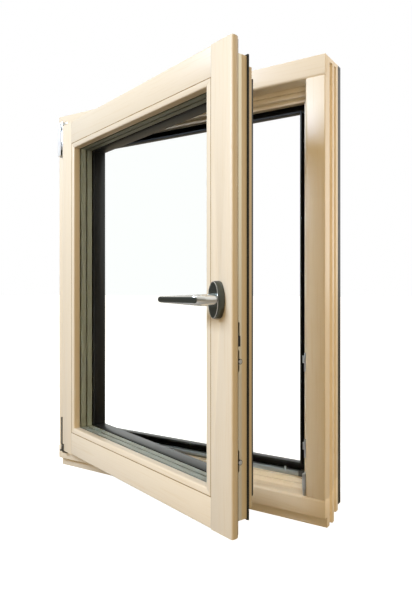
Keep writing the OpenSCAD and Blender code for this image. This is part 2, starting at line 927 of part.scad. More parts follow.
module lock_faceplate() {
    slot = [handle_z - 70, handle_z - 42];
    color(SILVER) in_sash() difference() {
        on_track("lock") difference() {
            plate(corner_leg, sash_h - corner_leg);
            for (z = lock_cams) track_slot(z, cam_neck_d + 2 * FIT, rod_travel);
            box([slot[0], track_mid - 5, -plate_thick - PAST], [slot[1], track_mid + 5, PAST]);
        }
        hardware_screw_set(screw_d, PAST);
    }
}

// Faceplate along the top, with the slot that guides the stay's slider
module stay_guide() {
    color(SILVER) in_sash() difference() {
        on_track("top") difference() {
            plate(track + 15, sash_w - corner_leg);
            track_slot(cross_cam, cam_neck_d + 2 * FIT, rod_travel);
            track_slot(stay_at - 10, slider_d + 1.4, 14);
        }
        hardware_screw_set(screw_d, PAST);
    }
}

module bottom_faceplate() {
    color(SILVER) in_sash() difference() {
        on_track("bottom") difference() {
            plate(track + 15, sash_w - corner_leg);
            track_slot(cross_cam, cam_neck_d + 2 * FIT, rod_travel);
        }
        hardware_screw_set(screw_d, PAST);
    }
}

// Corner drive: two faceplate legs that meet at the sash's lock-side corner
module corner_drive(cross, from, to) {
    color(SILVER) in_sash() difference() {
        union() {
            on_track("lock") plate(from, to);
            on_track(cross) plate(sash_w - corner_leg, sash_w - track);
        }
        hardware_screw_set(screw_d, PAST);
    }
}

module corner_drive_top() {
    corner_drive("top", sash_h - corner_leg, sash_h - track);
}

module corner_drive_bottom() {
    corner_drive("bottom", track, corner_leg);
}

// Gearbox case in the stile, hollow around its follower
module gearbox() {
    color(STEEL) in_sash() difference() {
        box([sash_w - gearbox_q[1], gearbox_n[0], handle_z + gearbox_z[0]],
            [sash_w - gearbox_q[0], gearbox_n[1], handle_z + gearbox_z[1]]);
        translate([handle_u, 0, handle_z])
            along_y(follower_d + 2 * RUNNING, gearbox_n[0] - PAST, gearbox_n[1] + PAST);
    }
}

// A locking rod with its cams; slots let the faceplate screws through
module rod(from, to, cams, screws) {
    half = rod_w / 2;
    bottom = -plate_thick - FIT - rod_thick;
    difference() {
        box([from, track_mid - half, bottom], [to, track_mid + half, bottom + rod_thick]);
        for (x = screws) translate([x - rod_travel - screw_d / 2 - 1, track_mid - 2.5, bottom - PAST])
            cube([2 * rod_travel + screw_d + 2, 5, rod_thick + 2 * PAST]);
    }
    for (x = cams) translate([x, track_mid, bottom + rod_thick - TINY]) {
        cylinder(h = plate_thick + 1 + FIT, d = cam_neck_d);
        translate([0, 0, plate_thick + 2 * FIT]) cylinder(h = cam_reach - FIT, d = cam_d);
    }
}

module lock_rod() {
    color(SILVER) in_sash() on_track("lock")
        rod(corner_leg, sash_h - corner_leg - 10, lock_cams, lock_screws[0]);
}

module top_rod() {
    color(SILVER) in_sash() on_track("top")
        rod(stay_at + 35, sash_w - corner_leg - 10, [cross_cam], [cross_screws[1]]);
}

module bottom_rod() {
    color(SILVER) in_sash() on_track("bottom")
        rod(cross_screws[0] + 60, sash_w - corner_leg - 10, [cross_cam], [cross_screws[1]]);
}

// ---------------------------------------------------------------- handle

module oval(wide, high, thick) {
    rotate([90, 0, 0]) linear_extrude(thick)
        polygon([for (a = [0:6:354]) [wide / 2 * cos(a), high / 2 * sin(a)]]);
}

base_thick = 3;

module rosette_base() {
    color(DARK) in_sash() difference() {
        translate([handle_u, 0, handle_z]) oval(rosette_w, rosette_h, base_thick);
        translate([handle_u, 0, handle_z]) along_y(follower_d, -base_thick - PAST, PAST);
        handle_screw_set(screw_d + 1, PAST);
    }
}

module rosette_cover() {
    skirt = 2;
    color(DARK) in_sash() difference() {
        translate([handle_u, -base_thick, handle_z]) {
            oval(rosette_w - skirt, rosette_h - skirt, rosette_thick - base_thick - skirt);
            translate([0, -(rosette_thick - base_thick - skirt), 0])
                oval(rosette_w - 2.5 * skirt, rosette_h - 3 * skirt, skirt);
        }
        translate([handle_u, 0, handle_z])
            along_y(neck_d + 2 * RUNNING, -rosette_thick - PAST, PAST);
    }
}

module handle_neck() {
    color(SILVER) in_sash() translate([handle_u, 0, handle_z]) difference() {
        along_y(neck_d, -lever_out + lever_thick / 2, -base_thick - FIT);
        rotate([90, 0, 0]) translate([-spindle_w / 2, -spindle_w / 2, 0])
            cube([spindle_w, spindle_w, lever_out / 2]);
    }
}

// Tapers from its root at the neck to a round tip
module handle_lever() {
    root = lever_root_h / 2;
    tip = lever_tip_h / 2;
    tip_x = tip - lever_len;
    color(DARK) in_sash() translate([handle_u, -lever_out, handle_z]) difference() {
        union() {
            translate([0, lever_thick, 0]) rotate([90, 0, 0]) linear_extrude(lever_thick)
                polygon([[0, -root], [0, root], [tip_x, tip], [tip_x, -tip]]);
            translate([tip_x, 0, 0]) along_y(lever_tip_h, 0, lever_thick);
            along_y(neck_d, 0, lever_thick / 2);
        }
        along_y(neck_d, lever_thick / 2, lever_thick + PAST);
    }
}

module handle_spindle() {
    half = spindle_w / 2;
    color(STEEL) in_sash()
        box([handle_u - half, -lever_out / 2, handle_z - half],
            [handle_u + half, gearbox_n[1], handle_z + half]);
}

module gearbox_follower() {
    half = spindle_w / 2;
    color(STEEL) in_sash() difference() {
        translate([handle_u, 0, handle_z]) along_y(follower_d, gearbox_n[0], gearbox_n[1]);
        box([handle_u - half, gearbox_n[0] - PAST, handle_z - half],
            [handle_u + half, gearbox_n[1] + PAST, handle_z + half]);
    }
}

// ---------------------------------------------------------------- parts

frame_head();
frame_sill();
jamb_hinge_side();
jamb_lock_side();
cladding_head();
cladding_sill();
cladding_hinge_side();
cladding_lock_side();
cladding_clips();
frame_gasket();
rain_rail();
rail_end_caps();
rail_pegs();
strikers();
striker_screws();
sash_lifter();
stay_bearing();
stay_cover();
corner_bearing();
hinge_pins();
bearing_screws();
corner_knuckle();
stay_arm();
sash_stile_hinge_side();
sash_stile_lock_side();
sash_rail_top();
sash_rail_bottom();
bead_hinge_side();
bead_lock_side();
bead_top();
bead_bottom();
pane_inner();
pane_middle();
pane_outer();
spacers();
setting_blocks();
sash_cladding_hinge_side();
sash_cladding_lock_side();
sash_cladding_top();
sash_cladding_bottom();
outer_glazing_gasket();
centre_gasket();
lip_gasket();
lock_faceplate();
stay_guide();
bottom_faceplate();
corner_drive_top();
corner_drive_bottom();
gearbox();
hardware_screws();
corner_band();
rosette_base();
rosette_cover();
handle_neck();
handle_lever();
handle_spindle();
gearbox_follower();
lock_rod();
top_rod();
bottom_rod();
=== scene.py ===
"""Looks of the tilt-and-turn casement window: timber, cladding, glass and hardware."""
import json
import math

import bmesh
import bpy
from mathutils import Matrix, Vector

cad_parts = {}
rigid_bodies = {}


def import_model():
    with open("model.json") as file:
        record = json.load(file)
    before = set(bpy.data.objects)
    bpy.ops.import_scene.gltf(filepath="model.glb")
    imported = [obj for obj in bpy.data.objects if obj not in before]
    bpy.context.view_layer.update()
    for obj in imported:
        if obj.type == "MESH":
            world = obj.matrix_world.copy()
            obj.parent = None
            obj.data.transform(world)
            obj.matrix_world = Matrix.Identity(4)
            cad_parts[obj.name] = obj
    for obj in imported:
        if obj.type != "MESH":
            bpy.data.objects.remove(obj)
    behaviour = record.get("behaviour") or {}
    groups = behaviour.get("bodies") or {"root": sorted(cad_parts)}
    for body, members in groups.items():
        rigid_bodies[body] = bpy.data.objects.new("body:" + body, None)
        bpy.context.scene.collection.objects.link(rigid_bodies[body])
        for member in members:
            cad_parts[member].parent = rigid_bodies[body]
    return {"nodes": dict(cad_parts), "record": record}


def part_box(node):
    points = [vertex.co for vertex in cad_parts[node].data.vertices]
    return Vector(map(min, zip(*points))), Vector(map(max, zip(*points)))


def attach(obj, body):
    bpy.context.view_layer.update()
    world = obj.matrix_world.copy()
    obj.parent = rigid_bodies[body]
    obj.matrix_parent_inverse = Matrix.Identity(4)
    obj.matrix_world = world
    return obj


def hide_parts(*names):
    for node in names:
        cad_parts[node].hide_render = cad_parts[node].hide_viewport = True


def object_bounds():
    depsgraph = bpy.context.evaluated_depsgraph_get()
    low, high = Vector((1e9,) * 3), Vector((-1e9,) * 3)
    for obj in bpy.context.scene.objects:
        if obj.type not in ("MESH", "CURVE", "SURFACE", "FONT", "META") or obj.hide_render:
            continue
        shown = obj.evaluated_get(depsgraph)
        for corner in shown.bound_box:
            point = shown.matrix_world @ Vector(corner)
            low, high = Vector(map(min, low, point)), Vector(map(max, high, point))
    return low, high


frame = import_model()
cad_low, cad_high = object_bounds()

# ------------------------------------------------------------------ measures from the frame

BODY_OF = {n: b for b, ns in frame["record"]["behaviour"]["bodies"].items() for n in ns}
SLOT_OF = {s["node"]: s["material_slot"] for s in frame["record"]["subparts"]}
JOINTS = {j["name"]: j for j in frame["record"]["behaviour"]["joints"]}

ACROSS = Vector(JOINTS["sash_tilt"]["axis"]).normalized()          # along the open sash
INWARD = Vector(JOINTS["handle_turn"]["axis"]).normalized()        # out of the sash's inner face
UP = Vector((0, 0, 1))
HANDLE = Vector(JOINTS["handle_turn"]["pos_m"])                    # handle axis on the sash face
OPEN = math.atan2(ACROSS.y, ACROSS.x)                              # turn of the open sash
MM = 0.001
WELD = 1e-6                                                        # corners this near are one

# ------------------------------------------------------------------ node helpers


class Nodes:
    """A short way to write a node tree."""

    def __init__(self, tree):
        self.tree = tree

    def link(self, a, b):
        self.tree.links.new(a, b)

    def add(self, kind, inputs=(), **settings):
        """Makes a node; inputs maps a socket's name or index to a value or to another socket."""
        node = self.tree.nodes.new("ShaderNode" + kind)
        for key, value in settings.items():
            setattr(node, key, value)
        for key, value in dict(inputs).items():
            self.put(node.inputs[key], value)
        return node

    def put(self, socket, value):
        if isinstance(value, bpy.types.NodeSocket):
            self.link(value, socket)
        elif isinstance(value, (tuple, list)) and len(value) == 3 and socket.type == "RGBA":
            socket.default_value = (*value, 1)
        else:
            socket.default_value = value

    def place(self, turn=0.0, scale=(1, 1, 1)):
        """Object coordinates, turned about Z and scaled."""
        where = self.add("TexCoord").outputs["Object"]
        spin = self.add("Mapping", {"Vector": where, "Rotation": (0, 0, turn)})
        return self.add("Mapping", {"Vector": spin.outputs[0], "Scale": scale}).outputs[0]

    def noise(self, where, scale, detail=3.0, rough=0.5, distort=0.0):
        return self.add("TexNoise", {"Vector": where, "Scale": scale, "Detail": detail,
                                     "Roughness": rough, "Distortion": distort}).outputs["Fac"]

    def ramp(self, value, *stops):
        """Colour ramp with (position, colour) stops."""
        node = self.add("ValToRGB", {"Fac": value})
        points = node.color_ramp.elements
        while len(points) < len(stops):
            points.new(0.5)
        for point, (at, colour) in zip(points, stops):
            point.position = at
            point.color = (*colour, 1)
        return node.outputs["Color"]

    def math(self, operation, a, b):
        node = self.add("Math", operation=operation)
        self.put(node.inputs[0], a)
        self.put(node.inputs[1], b)
        return node.outputs[0]

    def vector(self, operation, a, inputs):
        return self.add("VectorMath", {0: a, **inputs}, operation=operation).outputs[0]

    def mix(self, factor, a, b):
        node = self.add("Mix", data_type="RGBA", blend_type="MIX")
        self.put(node.inputs["Factor"], factor)
        self.put(node.inputs[6], a)
        self.put(node.inputs[7], b)
        return node.outputs[2]

    def remap(self, value, low, high):
        """Takes a value from 0..1 to low..high."""
        node = self.add("MapRange", {"Value": value, "To Min": low, "To Max": high})
        return node.outputs["Result"]

    def grade(self, value, low, high):
        """Takes a value from low..high to 0..1."""
        node = self.add("MapRange", {"Value": value, "From Min": low, "From Max": high})
        return node.outputs["Result"]


class Material(Nodes):
    """A new material with one Principled shader."""

    def __init__(self, name):
        self.mat = bpy.data.materials.new(name)
        self.mat.use_nodes = True
        super().__init__(self.mat.node_tree)
        self.tree.nodes.clear()
        out = self.add("OutputMaterial")
        self.shader = self.add("BsdfPrincipled")
        self.link(self.shader.outputs[0], out.inputs["Surface"])

    def set(self, **sockets):
        """Sets the shader's own sockets; an underscore stands for a space."""
        for key, value in sockets.items():
            self.put(self.shader.inputs[key.replace("_", " ")], value)

    def bump(self, height, strength, distance):
        node = self.add("Bump", {"Height": height, "Strength": strength, "Distance": distance})
        self.link(node.outputs[0], self.shader.inputs["Normal"])


def shade(colour, factor):
    """A darker or lighter kind of a colour."""
    return tuple(min(1.0, c * factor) for c in colour)


# ------------------------------------------------------------------ materials

PINE_PALE = (0.880, 0.765, 0.580)
PINE_MID = (0.845, 0.715, 0.510)
PINE_DARK = (0.770, 0.620, 0.400)
PINE_PORE = (0.600, 0.450, 0.260)


def timber(name, grain, turn=0.0, shift=0.0):
    """Clear-lacquered softwood with the grain along 'x' or 'z', in a frame turned about Z."""
    n = Material(name)
    along, across = 1.3, 60.0
    scale = (along, across, across) if grain == "x" else (across, across, along)
    spot = n.add("Mapping", {"Vector": n.place(-turn),
                             "Location": (shift, shift * 0.7, shift * 1.3)}).outputs[0]
    # the grain wanders a little to both sides of its run
    drift = n.add("TexNoise", {"Vector": spot, "Scale": 2.2, "Detail": 2.0})
    lean = n.vector("SUBTRACT", drift.outputs["Color"], {1: (0.5, 0.5, 0.5)})
    lean = n.vector("SCALE", lean, {"Scale": 0.03})
    bent = n.vector("ADD", spot, {1: lean})
    lines = n.add("Mapping", {"Vector": bent, "Scale": scale}).outputs[0]
    fine = n.add("Mapping", {"Vector": bent, "Scale": tuple(s * 6 for s in scale)}).outputs[0]
    rings = n.noise(lines, scale=5.0, detail=4.0, rough=0.55, distort=0.25)
    pores = n.noise(fine, scale=6.0, rough=0.6)
    broad = n.noise(spot, scale=3.0, detail=2.0)
    wood = n.ramp(rings, (0.30, PINE_PALE), (0.52, PINE_PALE), (0.68, PINE_MID), (0.84, PINE_DARK))
    wood = n.mix(n.remap(pores, 0.0, 0.09), wood, PINE_PORE)
    wood = n.mix(n.remap(broad, 0.0, 0.25), wood, PINE_MID)
    n.set(Base_Color=wood, Roughness=n.remap(pores, 0.34, 0.46), Coat_Weight=0.25,
          Coat_Roughness=0.25, Specular_IOR_Level=0.45)
    height = n.math("ADD", n.math("MULTIPLY", rings, 0.6), n.math("MULTIPLY", pores, 0.4))
    n.bump(height, strength=0.10, distance=0.0006)
    return n.mat


def powder_coat(name, colour, rough):
    """Satin paint on metal with a very fine orange peel."""
    n = Material(name)
    where = n.place()
    grain = n.noise(where, scale=2600.0, detail=2.0, rough=0.6)
    cloud = n.noise(where, scale=9.0)
    n.set(Base_Color=n.ramp(cloud, (0.3, colour), (0.8, shade(colour, 1.35))),
          Roughness=n.remap(cloud, rough - 0.05, rough + 0.07), Specular_IOR_Level=0.5)
    n.bump(grain, strength=0.12, distance=0.00012)
    return n.mat


def metal(name, colour, rough, brush, turn=0.0, streak=0.06):
    """Plated or anodised metal with fine drawing lines along 'x' or 'z', or 'all' ways."""
    n = Material(name)
    run, cross, even = 8, 900, 260        # lines to a metre along the brushing, across it, all ways
    scale = {"x": (run, cross, cross), "z": (cross, cross, run), "all": (even,) * 3}[brush]
    lines = n.noise(n.place(-turn, scale), scale=1.0, rough=0.6)
    cloud = n.noise(n.place(), scale=14.0)
    uneven = n.math("ADD", n.math("MULTIPLY", lines, 0.5), n.math("MULTIPLY", cloud, 0.5))
    n.set(Base_Color=n.ramp(lines, (0.3, shade(colour, 1 - streak)), (0.7, shade(colour, 1 + streak))),
          Metallic=1.0, Roughness=n.remap(uneven, rough - 0.07, rough + 0.08))
    n.bump(lines, strength=0.05, distance=0.0001)
    return n.mat


def plastic(name, colour, rough, grain=700.0, strength=0.1):
    """Moulded plastic or rubber with a fine grain."""
    n = Material(name)
    where = n.place()
    fine = n.noise(where, scale=grain, detail=2.0, rough=0.6)
    cloud = n.noise(where, scale=25.0)
    n.set(Base_Color=n.ramp(cloud, (0.3, shade(colour, 0.85)), (0.75, colour)),
          Roughness=n.remap(fine, rough - 0.06, rough + 0.08), Specular_IOR_Level=0.4)
    n.bump(fine, strength, distance=0.0002)
    return n.mat


def float_glass(name):
    """Clear pane with a faint green body, which doesn't bend the view through it."""
    n = Material(name)
    dust = n.noise(n.place(), scale=30.0)
    n.set(Base_Color=(0.992, 1.0, 0.996), Roughness=n.remap(dust, 0.0, 0.01), IOR=1.0,
          Transmission_Weight=1.0)
    return n.mat


TIMBER_UP = timber("timber_upright", "z")
TIMBER_ACROSS = timber("timber_across", "x", shift=3.1)
SASH_UP = timber("timber_sash_upright", "z", OPEN, shift=7.3)
SASH_ACROSS = timber("timber_sash_across", "x", OPEN, shift=5.7)
BLACK_COAT = powder_coat("black_powder_coat", (0.010, 0.010, 0.009), 0.32)
RUBBER = plastic("black_rubber", (0.016, 0.016, 0.014), 0.6, grain=500.0, strength=0.2)
CLIP = plastic("clip_plastic", (0.03, 0.03, 0.03), 0.5)
DARK_PLASTIC = plastic("dark_grey_plastic", (0.07, 0.075, 0.075), 0.45)
SPACER = plastic("spacer_grey_green", (0.36, 0.40, 0.345), 0.4)
RAIL = metal("anodised_rail", (0.56, 0.60, 0.58), 0.34, "x")
ZINC = metal("bright_zinc", (0.66, 0.66, 0.64), 0.30, "all")
PLATE = metal("champagne_faceplate", (0.82, 0.72, 0.52), 0.42, "z", OPEN)
# painted shade: the locking rods are coloured dark so that the slots they show through look dark
ROD_SHADE = metal("dark_rod", (0.10, 0.095, 0.085), 0.4, "all")
COVER = powder_coat("pale_cover", (0.72, 0.73, 0.72), 0.35)
DARK_HINGE = powder_coat("dark_hinge", (0.040, 0.033, 0.018), 0.4)
HANDLE_DARK = metal("dark_titanium", (0.105, 0.115, 0.100), 0.34, "x", OPEN)
HANDLE_SILVER = metal("satin_silver", (0.74, 0.73, 0.69), 0.22, "x", OPEN, streak=0.10)
GLASS = float_glass("float_glass")
# painted shadow: dark brown for the shade in the gaps round the glazing beads
GAP_SHADOW = plastic("joint_shadow", (0.40, 0.27, 0.12), 0.8)
# painted shade: grey for the shade in the hair joints where rails meet stiles
SEAM_SHADE = plastic("joint_seam", (0.50, 0.46, 0.40), 0.7)

BY_SLOT = {
    "cladding": BLACK_COAT, "clip_plastic": CLIP, "gasket": RUBBER, "rail_aluminium": RAIL,
    "dark_plastic": DARK_PLASTIC, "zinc_steel": ZINC, "cover_silver": COVER,
    "dark_hinge": DARK_HINGE, "glass": GLASS, "spacer": SPACER,
    "handle_titanium": HANDLE_DARK, "handle_silver": HANDLE_SILVER,
}
BY_NODE = {
    "frame_head": TIMBER_ACROSS, "frame_sill": TIMBER_ACROSS,
    "jamb_hinge_side": TIMBER_UP, "jamb_lock_side": TIMBER_UP,
    "sash_stile_hinge_side": SASH_UP, "sash_stile_lock_side": SASH_UP,
    "sash_rail_top": SASH_ACROSS, "sash_rail_bottom": SASH_ACROSS,
    "bead_hinge_side": SASH_UP, "bead_lock_side": SASH_UP,
    "bead_top": SASH_ACROSS, "bead_bottom": SASH_ACROSS,
    "lock_faceplate": PLATE, "corner_drive_top": PLATE, "corner_drive_bottom": PLATE,
    "stay_guide": PLATE, "bottom_faceplate": PLATE,
    # the rods take the dark rod colour, which is painted shade
    "lock_rod": ROD_SHADE, "top_rod": ROD_SHADE, "bottom_rod": ROD_SHADE,
}


def material_of(node):
    return BY_NODE.get(node) or BY_SLOT[SLOT_OF[node]]


def dress(obj, material):
    obj.data.materials.clear()
    obj.data.materials.append(material)


# ------------------------------------------------------------------ meshes

EDGE_ANGLE = math.radians(30)             # sharper edges of a CAD piece are eased
CREASE_ANGLE = math.radians(32)           # sharper edges of a CAD piece stay creased
BUILT_EDGE_ANGLE = math.radians(40)       # the same two for the pieces built here
BUILT_CREASE_ANGLE = math.radians(38)
FLAT_ANGLE = math.radians(0.5)            # faces this level with each other are one


def tidy_mesh(mesh, join_flat):
    """Welds a mesh's corners and turns its faces outwards; may join flat faces as well."""
    bm = bmesh.new()
    bm.from_mesh(mesh)
    bmesh.ops.remove_doubles(bm, verts=bm.verts, dist=WELD)
    if join_flat:
        bmesh.ops.dissolve_limit(bm, angle_limit=FLAT_ANGLE, verts=bm.verts, edges=bm.edges)
    bmesh.ops.recalc_face_normals(bm, faces=bm.faces)
    bm.to_mesh(mesh)
    bm.free()


def ease_edges(piece, radius, segments, angle):
    """Rounds the sharp edges of a piece and keeps the result as its mesh."""
    bevel = piece.modifiers.new("ease", "BEVEL")
    bevel.width = radius
    bevel.segments = segments
    bevel.limit_method = "ANGLE"
    bevel.angle_limit = angle
    bpy.context.view_layer.update()
    graph = bpy.context.evaluated_depsgraph_get()
    mesh = bpy.data.meshes.new_from_object(piece.evaluated_get(graph))
    piece.modifiers.clear()
    piece.data = mesh


def shade_smooth(piece, crease):
    for face in piece.data.polygons:
        face.use_smooth = True
    piece.data.set_sharp_from_angle(angle=crease)


# ------------------------------------------------------------------ pieces from CAD solids


def eased(node, radius):
    """A copy of a CAD node with its sharp edges eased to a small radius; it stands for the node."""
    source = frame["nodes"][node]
    piece = bpy.data.objects.new(node + "_eased", source.data.copy())
    bpy.context.scene.collection.objects.link(piece)
    tidy_mesh(piece.data, join_flat=True)
    ease_edges(piece, radius, 2, EDGE_ANGLE)
    shade_smooth(piece, CREASE_ANGLE)
    dress(piece, material_of(node))
    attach(piece, BODY_OF[node])
    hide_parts(node)


# radius in millimetres on the edges of each node
EASED = {
    "frame_head": 1.0, "frame_sill": 1.0, "jamb_hinge_side": 1.0, "jamb_lock_side": 1.0,
    "sash_stile_hinge_side": 0.8, "sash_stile_lock_side": 0.8,
    "sash_rail_top": 0.8, "sash_rail_bottom": 0.8,
    "bead_hinge_side": 0.5, "bead_lock_side": 0.5, "bead_top": 0.5, "bead_bottom": 0.5,
    "cladding_head": 0.5, "cladding_sill": 0.5, "cladding_hinge_side": 0.5,
    "cladding_lock_side": 0.5,
    "sash_cladding_hinge_side": 0.4, "sash_cladding_lock_side": 0.4,
    "sash_cladding_top": 0.4, "sash_cladding_bottom": 0.4,
    "rain_rail": 0.3, "rail_end_caps": 0.3, "sash_lifter": 0.8, "strikers": 0.5,
    "stay_cover": 0.8, "corner_band": 0.8, "corner_bearing": 0.6, "corner_knuckle": 0.6,
    "stay_bearing": 0.5,
}

for name, obj in frame["nodes"].items():
    dress(obj, material_of(name))

for name, radius in EASED.items():
    eased(name, radius * MM)

# ------------------------------------------------------------------ pieces built here


def between(start, end, part):
    return start + (end - start) * part


def superellipse(across, up, power, count=40):
    """Points of a rounded outline; power 2 is an ellipse and more is squarer."""
    points = []
    for step in range(count):
        angle = 2 * math.pi * step / count
        c, s = math.cos(angle), math.sin(angle)
        points.append((across * math.copysign(abs(c) ** (2 / power), c),
                       up * math.copysign(abs(s) ** (2 / power), s)))
    return points


def circle(radius, count=40):
    return superellipse(radius, radius, 2, count)


def arc(x, y, radius, start, stop, steps):
    """Points of an arc about (x, y), between two angles in degrees."""
    angles = [math.radians(start + (stop - start) * step / steps) for step in range(steps + 1)]
    return [(x + radius * math.cos(a), y + radius * math.sin(a)) for a in angles]


def build(name, vertices, faces, material, body, slot, bevel=0.0):
    """Makes a piece from points and faces and lets it ride on a body."""
    mesh = bpy.data.meshes.new(name)
    mesh.from_pydata([tuple(v) for v in vertices], [], faces)
    tidy_mesh(mesh, join_flat=False)
    piece = bpy.data.objects.new(name, mesh)
    bpy.context.scene.collection.objects.link(piece)
    if bevel:
        ease_edges(piece, bevel, 3, BUILT_EDGE_ANGLE)
    shade_smooth(piece, BUILT_CREASE_ANGLE)
    dress(piece, material)
    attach(piece, body)
    return piece


def loft(rings):
    """Vertices and faces of a skin over closed rings of points, capped at both ends."""
    count = len(rings[0])
    vertices = [point for ring in rings for point in ring]
    faces = [(r * count + i, r * count + (i + 1) % count,
              (r + 1) * count + (i + 1) % count, (r + 1) * count + i)
             for r in range(len(rings) - 1) for i in range(count)]
    faces.append(tuple(range(count))[::-1])
    faces.append(tuple((len(rings) - 1) * count + i for i in range(count)))
    return vertices, faces


def loft_closed(rings):
    """The same over rings of which the last joins the first again, without caps."""
    vertices, faces = loft(rings)
    count = len(rings[0])
    last = (len(rings) - 1) * count
    return vertices, faces[:-2] + [(last + i, last + (i + 1) % count, (i + 1) % count, i)
                                   for i in range(count)]


def ring_at(centre, side, up, outline):
    return [centre + side * a + up * b for a, b in outline]


def on_sash(along, out, height):
    """A point given from the handle's axis on the sash face, in millimetres."""
    return HANDLE + (ACROSS * along + INWARD * out + UP * height) * MM


def span(node, axis):
    """Least and greatest place of a CAD node along an axis, in metres."""
    obj = frame["nodes"][node]
    places = [(obj.matrix_world @ v.co).dot(axis) for v in obj.data.vertices]
    return min(places), max(places)


def block(centre, halves, name, material, body, slot, bevel=0.0):
    """A box with its own three half-edges as vectors."""
    a, b, c = halves
    rings = [[centre + c * k + a * i + b * j for i, j in ((-1, -1), (1, -1), (1, 1), (-1, 1))]
             for k in (-1, 1)]
    build(name, *loft(rings), material, body, slot, bevel)


def disc(centre, normal, radius, thick, name, material, body, slot, bevel=0.0):
    """A short round plate whose back lies at the centre given."""
    side = normal.orthogonal().normalized()
    up = normal.cross(side)
    rings = [ring_at(centre + normal * t, side, up, circle(radius, 20)) for t in (0.0, thick)]
    build(name, *loft(rings), material, body, slot, bevel)


def bead_shadows():
    """Painted shadow: dark strips sunk in the gap that runs between the sash and its glazing beads."""
    half, sunk, proud = 0.8 * MM, 1.0 * MM, 0.1 * MM
    face = span("sash_stile_lock_side", INWARD)[1]
    u0, u1 = span("bead_hinge_side", ACROSS)[0], span("bead_lock_side", ACROSS)[1]
    z0, z1 = span("bead_bottom", UP)[0], span("bead_top", UP)[1]
    low, high = face - sunk, face + proud
    mid = INWARD * (low + high) / 2
    thick = INWARD * (high - low) / 2
    lines = {
        "bottom": ((u0 + u1) / 2, z0 + half, (u1 - u0) / 2, half),
        "top": ((u0 + u1) / 2, z1 - half, (u1 - u0) / 2, half),
        "hinge": (u0 + half, (z0 + z1) / 2, half, (z1 - z0) / 2),
        "lock": (u1 - half, (z0 + z1) / 2, half, (z1 - z0) / 2),
    }
    for side, (u, z, half_u, half_z) in lines.items():
        block(mid + ACROSS * u + UP * z, (ACROSS * half_u, UP * half_z, thick),
              "bead_shadow_" + side, GAP_SHADOW, "sash", "sash_timber")


def shaded_seams():
    """Hair lines of painted shade where the rails of the sash meet its stiles."""
    half, proud, margin = 0.2 * MM, 0.06 * MM, 5 * MM
    face = span("sash_stile_hinge_side", INWARD)[1]
    runs = {
        "sash_rail_top": (span("bead_top", UP)[1], span("sash_rail_top", UP)[1] - margin),
        "sash_rail_bottom": (span("sash_rail_bottom", UP)[0] + margin, span("bead_bottom", UP)[0]),
    }
    for node, (low, high) in runs.items():
        for end, bead in enumerate(("bead_hinge_side", "bead_lock_side")):
            centre = ACROSS * span(bead, ACROSS)[end] + INWARD * face + UP * (low + high) / 2
            block(centre, (ACROSS * half, UP * (high - low) / 2, INWARD * proud),
                  "seam_%s_%d" % (node, end), SEAM_SHADE, "sash", "sash_timber")


def lock_slot_shade():
    """Painted shade: a black sheet on the faceplate for the dark opening of the lock case, above the
    middle cam's travel.
    """
    low, high = -87 * MM, -67 * MM        # from the height of the handle's axis
    half, proud = 7 * MM, 0.15 * MM
    plane = span("lock_faceplate", ACROSS)[1]
    mid = INWARD * sum(span("lock_faceplate", INWARD)) / 2
    centre = mid + ACROSS * plane + UP * (HANDLE.z + (low + high) / 2)
    block(centre, (INWARD * half, UP * (high - low) / 2, ACROSS * proud),
          "case_slot", BLACK_COAT, "sash", "dark_plastic")


def cam_heads(node, way, along):
    """Bright caps on the cams of a locking rod, which point a way and stand apart along it."""
    radius, thick = 4.0 * MM, 0.15 * MM
    depth, apart = 0.3 * MM, 20 * MM      # of the points on a cam's end, and between two cams
    obj = frame["nodes"][node]
    places = [obj.matrix_world @ v.co for v in obj.data.vertices]
    end = max(p.dot(way) for p in places)
    tips = sorted((p for p in places if p.dot(way) > end - depth), key=lambda p: p.dot(along))
    groups = [[tips[0]]]
    for before, tip in zip(tips, tips[1:]):
        if (tip - before).dot(along) > apart:
            groups.append([])
        groups[-1].append(tip)
    for count, group in enumerate(groups):
        centre = sum(group, Vector()) / len(group)
        disc(centre, way, radius, thick, "cam_%s_%d" % (node, count), ZINC,
             BODY_OF[node], SLOT_OF[node])


def stay_cover_back():
    """Dark backing that shows round the upper cover as a thin outline of painted shade."""
    margin, half_thick, set_back = 1.4 * MM, 1.4 * MM, 1.5 * MM
    low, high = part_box("stay_cover")
    centre = Vector(((low.x + high.x) / 2, high.y - set_back, (low.z + high.z) / 2))
    block(centre, (Vector(((high.x - low.x) / 2 + margin, 0, 0)), Vector((0, half_thick, 0)),
                   Vector((0, 0, (high.z - low.z) / 2 + margin))),
          "stay_cover_back", DARK_PLASTIC, "frame", "cover_silver", 0.4 * MM)


def corner_band_cap():
    """Dark cap over the lower corner band."""
    from_edge, from_face, above = 4.2 * MM, 6.5 * MM, 15 * MM
    half_wide, half_deep = 4.1 * MM, 6.3 * MM
    edge = span("sash_stile_hinge_side", ACROSS)[0]
    face = span("sash_stile_hinge_side", INWARD)[1]
    z1 = span("corner_band", UP)[1]
    z0 = span("sash_stile_hinge_side", UP)[0] + above
    centre = ACROSS * (edge - from_edge) + INWARD * (face - from_face) + UP * (z0 + z1) / 2
    block(centre, (ACROSS * half_wide, INWARD * half_deep, UP * ((z1 - z0) / 2)),
          "corner_band_cap", DARK_HINGE, BODY_OF["corner_band"], "dark_hinge", 0.8 * MM)


def islands(node):
    """Lists of world points, one list for each separate piece of a CAD node."""
    obj = frame["nodes"][node]
    bm = bmesh.new()
    bm.from_mesh(obj.data)
    bmesh.ops.remove_doubles(bm, verts=bm.verts, dist=WELD)
    bm.verts.index_update()
    left, groups = set(bm.verts), []
    for first in bm.verts:
        if first not in left:
            continue
        left.remove(first)
        queue, group = [first], []
        while queue:
            vert = queue.pop()
            group.append(obj.matrix_world @ vert.co)
            near = {edge.other_vert(vert) for edge in vert.link_edges} & left
            left -= near
            queue += sorted(near, key=lambda v: v.index)
        groups.append(group)
    bm.free()
    return groups


